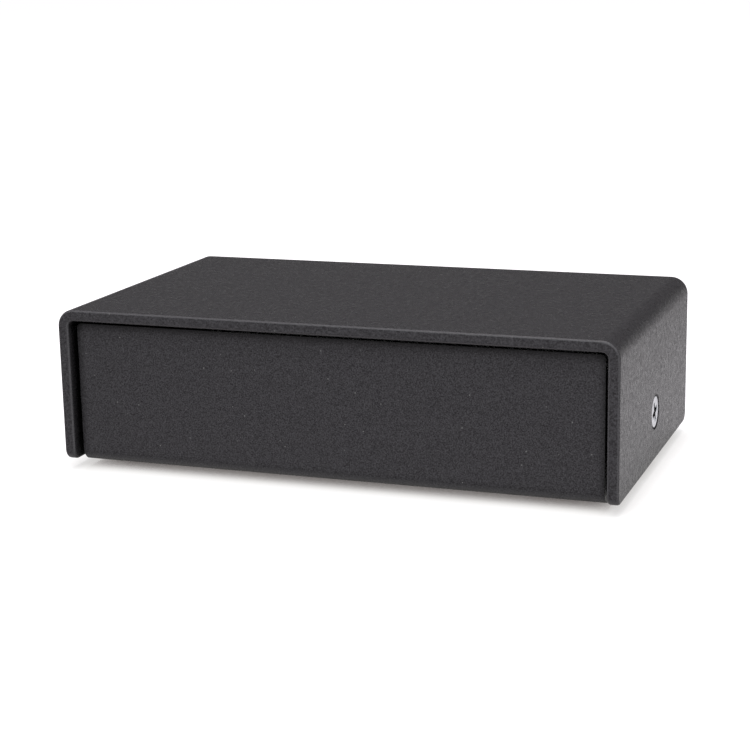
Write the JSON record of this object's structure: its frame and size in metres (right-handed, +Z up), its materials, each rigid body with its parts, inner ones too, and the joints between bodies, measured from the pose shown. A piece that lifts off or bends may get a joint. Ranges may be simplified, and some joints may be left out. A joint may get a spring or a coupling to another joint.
{
  "type": "phono preamp",
  "caption": "Small desktop phono preamp in a folded black steel case, with phono sockets, an earth terminal, a gain switch and a power inlet on its rear panel.",
  "frame": {"origin": "on the table, under the centre of the whole preamp's bounding box, sockets included", "axes": "+Z up, front panel faces -Y, sockets leave the rear panel along +Y, +X to the right seen from the front"},
  "size_m": [0.104, 0.066, 0.0304],
  "materials": {
    "powder_coat": "fine-texture black powder coat on folded steel sheet",
    "foot_rubber": "matt black self-adhesive rubber",
    "zinc_steel": "bright zinc-plated steel",
    "nickel": "nickel-plated brass",
    "tinned_contact": "tinned copper alloy",
    "black_plastic": "moulded black plastic",
    "white_plastic": "moulded white plastic, left channel",
    "red_plastic": "moulded red plastic, right channel",
    "board_laminate": "glass-fibre laminate with green solder mask",
    "chip_plastic": "black moulding compound",
    "switch_laminate": "brown phenolic laminate",
    "capacitor_sleeve": "shrink sleeve on an aluminium can",
    "film_box": "red epoxy-filled box",
    "resistor_lacquer": "pale blue lacquer",
    "wire_insulation": "green insulation"
  },
  "bodies": {
    "case": {"top_cover": "powder_coat", "base_tray": "powder_coat", "foot_front_left": "foot_rubber", "foot_front_right": "foot_rubber", "foot_rear_left": "foot_rubber", "foot_rear_right": "foot_rubber", "cover_screw_left": "zinc_steel", "cover_screw_right": "zinc_steel", "clinch_nut_left": "zinc_steel", "clinch_nut_right": "zinc_steel", "board_standoffs": "zinc_steel", "board_screws": "zinc_steel", "block_screws": "zinc_steel", "ground_lock_nut": "zinc_steel", "switch_frame": "zinc_steel", "input_left_sleeve": "nickel", "input_right_sleeve": "nickel", "output_left_sleeve": "nickel", "output_right_sleeve": "nickel", "ground_stud": "nickel", "input_left_contact": "tinned_contact", "input_right_contact": "tinned_contact", "output_left_contact": "tinned_contact", "output_right_contact": "tinned_contact", "dc_jack_pin": "tinned_contact", "dc_jack_spring": "tinned_contact", "ground_lug": "tinned_contact", "switch_pins": "tinned_contact", "op_amp_legs": "tinned_contact", "axial_leads": "tinned_contact", "regulator_metal": "tinned_contact", "input_socket_block": "black_plastic", "output_socket_block": "black_plastic", "dc_jack_body": "black_plastic", "input_left_insulator": "white_plastic", "output_left_insulator": "white_plastic", "input_right_insulator": "red_plastic", "output_right_insulator": "red_plastic", "circuit_board": "board_laminate", "op_amp_left": "chip_plastic", "op_amp_right": "chip_plastic", "regulator_body": "chip_plastic", "rectifier_diode": "chip_plastic", "switch_base": "switch_laminate", "small_capacitors": "capacitor_sleeve", "reservoir_capacitor_left": "capacitor_sleeve", "reservoir_capacitor_right": "capacitor_sleeve", "film_capacitors": "film_box", "resistors": "resistor_lacquer", "ground_wire": "wire_insulation"},
    "ground_washer": {"ground_washer": "zinc_steel"},
    "ground_nut": {"ground_thumb_nut": "nickel"},
    "gain_slider": {"switch_slider": "black_plastic"}
  },
  "joints": [
    {"name": "ground_clamp_slide", "type": "slide", "parent": "case", "child": "ground_washer", "axis": [0, 1, 0], "range_m": [0, 0.0028]},
    {"name": "ground_nut_turn", "type": "hinge", "parent": "ground_washer", "child": "ground_nut", "pos_m": [0.04003, 0.0277, 0.0166], "axis": [0, 1, 0], "range_deg": [0, 1440]},
    {"name": "gain_switch_slide", "type": "slide", "parent": "case", "child": "gain_slider", "axis": [1, 0, 0], "range_m": [0, 0.002]}
  ],
  "couplings": [
    {"joint": "ground_nut_turn", "follows": "ground_clamp_slide", "rad_per_m": 8976}
  ]
}
